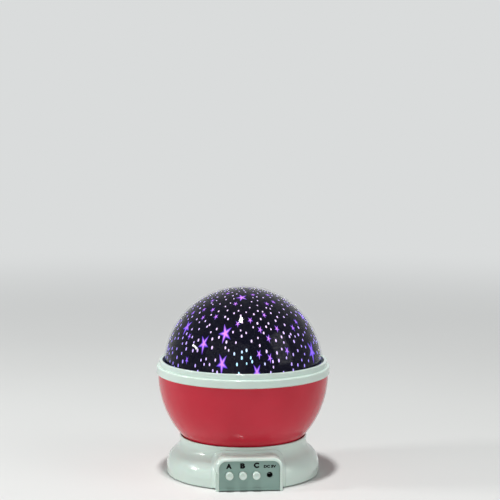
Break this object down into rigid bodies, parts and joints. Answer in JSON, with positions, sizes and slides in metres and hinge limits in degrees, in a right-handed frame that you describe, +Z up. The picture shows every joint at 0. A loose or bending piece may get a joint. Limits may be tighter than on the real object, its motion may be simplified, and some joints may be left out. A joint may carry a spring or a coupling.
{
  "type": "star night light projector",
  "caption": "Round night light on a white base with a push-button panel; a red bowl turns on a geared drive and carries a lift-off ring with a dark star-window dome.",
  "frame": {"origin": "on the floor under the bowl's turning axis, at the centre of the bounding box's bottom face", "axes": "+Z up along the turning axis, -Y towards the control panel, +X to the right of someone facing the panel"},
  "size_m": [0.12, 0.12, 0.131],
  "materials": {
    "white_gloss": "moulded white ABS, glossy",
    "panel_satin": "moulded white ABS, satin face",
    "foot_rubber": "soft pads",
    "zinc_steel": "zinc plated",
    "cell_jacket": "plain cell jackets",
    "wire_red": "soft insulation",
    "circuit_board": "solder mask",
    "board_white": "white, scatters light",
    "black_plastic": "moulded nylon",
    "gear_white": "acetal",
    "bearing_bronze": "sintered bronze",
    "led_lens": "clear epoxy lens, lit",
    "bowl_coral": "glossy coral red",
    "dome_clear": "clear polystyrene shell, glossy",
    "print_black": "black printed layer with open stars"
  },
  "bodies": {
    "root": {"base_shell": "white_gloss", "base_bottom": "white_gloss", "rubber_feet": "foot_rubber", "base_screws": "zinc_steel", "battery_cells": "cell_jacket", "battery_springs": "zinc_steel", "battery_contacts": "zinc_steel", "control_panel": "panel_satin", "control_board": "circuit_board", "switch_bodies": "black_plastic", "control_chips": "black_plastic", "power_socket": "black_plastic", "socket_pin": "zinc_steel", "lamp_wires": "wire_red", "motor_wires": "wire_red", "battery_wires": "wire_red", "gear_motor": "zinc_steel", "motor_strap": "zinc_steel", "strap_screws": "zinc_steel", "gear_axle": "zinc_steel", "axle_clip": "black_plastic", "center_post": "white_gloss", "post_screws": "zinc_steel", "thrust_washer": "bearing_bronze", "retaining_clip": "zinc_steel", "led_board": "board_white", "leds": "led_lens", "led_screws": "zinc_steel"},
    "battery_door": {"battery_door": "white_gloss", "door_screw": "zinc_steel"},
    "button_a": {"button_a": "white_gloss", "plunger_a": "black_plastic"},
    "button_b": {"button_b": "white_gloss", "plunger_b": "black_plastic"},
    "button_c": {"button_c": "white_gloss", "plunger_c": "black_plastic"},
    "motor_pinion": {"motor_shaft": "zinc_steel", "drive_pinion": "gear_white"},
    "reduction_gear": {"reduction_gear": "gear_white"},
    "bowl": {"bowl": "bowl_coral", "bowl_bush": "bearing_bronze", "bowl_gear": "gear_white", "gear_screws": "zinc_steel", "reflector": "board_white"},
    "star_cover": {"rim_ring": "white_gloss", "dome": "dome_clear", "star_mask": "print_black"}
  },
  "joints": [
    {"name": "bowl_spin", "type": "hinge", "parent": "root", "child": "bowl", "pos_m": [0, 0, 0.04], "axis": [0, 0, 1], "continuous": true},
    {"name": "reduction_spin", "type": "hinge", "parent": "root", "child": "reduction_gear", "pos_m": [-0.01839, -0.01543, 0.03], "axis": [0, 0, 1], "continuous": true},
    {"name": "pinion_spin", "type": "hinge", "parent": "root", "child": "motor_pinion", "pos_m": [-0.00216, -0.01978, 0.03], "axis": [0, 0, 1], "continuous": true},
    {"name": "cover_lift", "type": "slide", "parent": "bowl", "child": "star_cover", "axis": [0, 0, 1], "range_m": [0, 0.03]},
    {"name": "door_swing", "type": "hinge", "parent": "root", "child": "battery_door", "pos_m": [0.0262, 0.01, 0.002], "axis": [0, -1, 0], "range_deg": [0, 75]},
    {"name": "button_a_press", "type": "slide", "parent": "root", "child": "button_a", "axis": [0, 1, 0], "range_m": [0, 0.001], "stiffness_N_per_m": 300, "springref_m": -0.0005},
    {"name": "button_b_press", "type": "slide", "parent": "root", "child": "button_b", "axis": [0, 1, 0], "range_m": [0, 0.001], "stiffness_N_per_m": 300, "springref_m": -0.0005},
    {"name": "button_c_press", "type": "slide", "parent": "root", "child": "button_c", "axis": [0, 1, 0], "range_m": [0, 0.001], "stiffness_N_per_m": 300, "springref_m": -0.0005}
  ],
  "couplings": [
    {"joint": "reduction_spin", "follows": "bowl_spin", "ratio": -4},
    {"joint": "pinion_spin", "follows": "bowl_spin", "ratio": 10}
  ]
}
